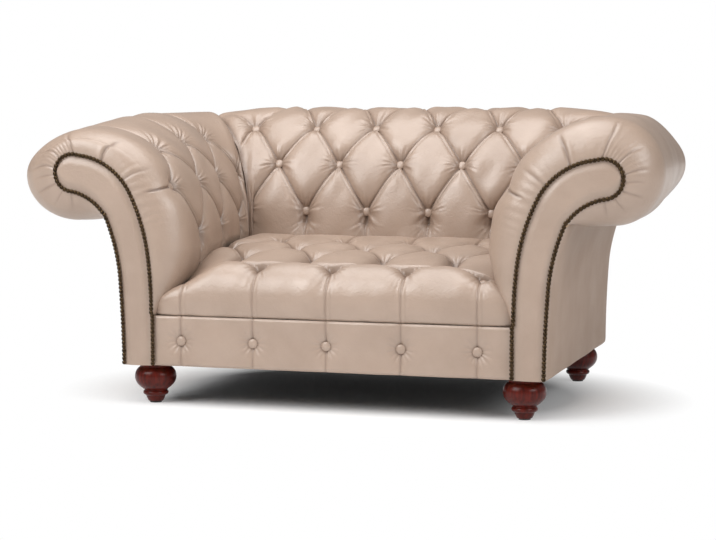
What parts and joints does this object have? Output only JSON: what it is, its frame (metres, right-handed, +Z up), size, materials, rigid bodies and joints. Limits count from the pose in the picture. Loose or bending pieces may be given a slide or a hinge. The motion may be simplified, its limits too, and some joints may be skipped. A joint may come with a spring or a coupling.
{
  "type": "button-tufted settee",
  "caption": "Compact two-seat settee with scroll arms, deep-buttoned back, arms and seat, nailed arm facings and turned bun feet.",
  "frame": {"origin": "on the floor, under the middle of the outer box", "axes": "+X to the right seen from the front, +Y to the back, +Z up"},
  "size_m": [1.6304, 0.955, 0.7588],
  "materials": {
    "leather": "semi-gloss upholstery leather, blush beige",
    "foam": "upholstery foam with wadding",
    "frame_timber": "planed hardwood",
    "former_board": "bent board",
    "foot_wood": "dark red-brown lacquer",
    "antique_brass": "aged dark brass",
    "zinc_steel": "zinc-plated steel",
    "lining_cloth": "woven hessian",
    "dust_cloth": "black spun cloth",
    "glide": "matt nylon"
  },
  "bodies": {
    "root": {"back_buttons": "leather", "back_posts": "frame_timber", "back_roll_former": "former_board", "back_roll_pad": "leather", "back_tack_rail": "frame_timber", "back_top_rail": "frame_timber", "border_buttons": "leather", "dust_cover": "dust_cloth", "foot_blocks": "frame_timber", "foot_bolts": "zinc_steel", "foot_front_left": "foot_wood", "foot_front_right": "foot_wood", "foot_glides": "glide", "foot_nuts": "zinc_steel", "foot_rear_left": "foot_wood", "foot_rear_right": "foot_wood", "front_border": "leather", "front_rail": "frame_timber", "inside_back_cover": "leather", "inside_back_foam": "foam", "inside_back_lining": "lining_cloth", "left_arm_buttons": "leather", "left_arm_facing": "leather", "left_arm_front_board": "frame_timber", "left_arm_front_roll": "leather", "left_arm_rear_board": "frame_timber", "left_arm_roll_former": "former_board", "left_arm_roll_pad": "leather", "left_arm_tack_rail": "frame_timber", "left_arm_top_rail": "frame_timber", "left_facing_nails": "antique_brass", "left_inside_arm_cover": "leather", "left_inside_arm_foam": "foam", "left_inside_arm_lining": "lining_cloth", "left_outside_arm_panel": "leather", "left_side_rail": "frame_timber", "outside_back_panel": "leather", "rear_rail": "frame_timber", "right_arm_buttons": "leather", "right_arm_facing": "leather", "right_arm_front_board": "frame_timber", "right_arm_front_roll": "leather", "right_arm_rear_board": "frame_timber", "right_arm_roll_former": "former_board", "right_arm_roll_pad": "leather", "right_arm_tack_rail": "frame_timber", "right_arm_top_rail": "frame_timber", "right_facing_nails": "antique_brass", "right_inside_arm_cover": "leather", "right_inside_arm_foam": "foam", "right_inside_arm_lining": "lining_cloth", "right_outside_arm_panel": "leather", "right_side_rail": "frame_timber", "seat_base_cloth": "lining_cloth", "seat_buttons": "leather", "seat_cover": "leather", "seat_foam": "foam", "seat_springs": "zinc_steel", "spring_clips": "zinc_steel"}
  },
  "joints": []
}
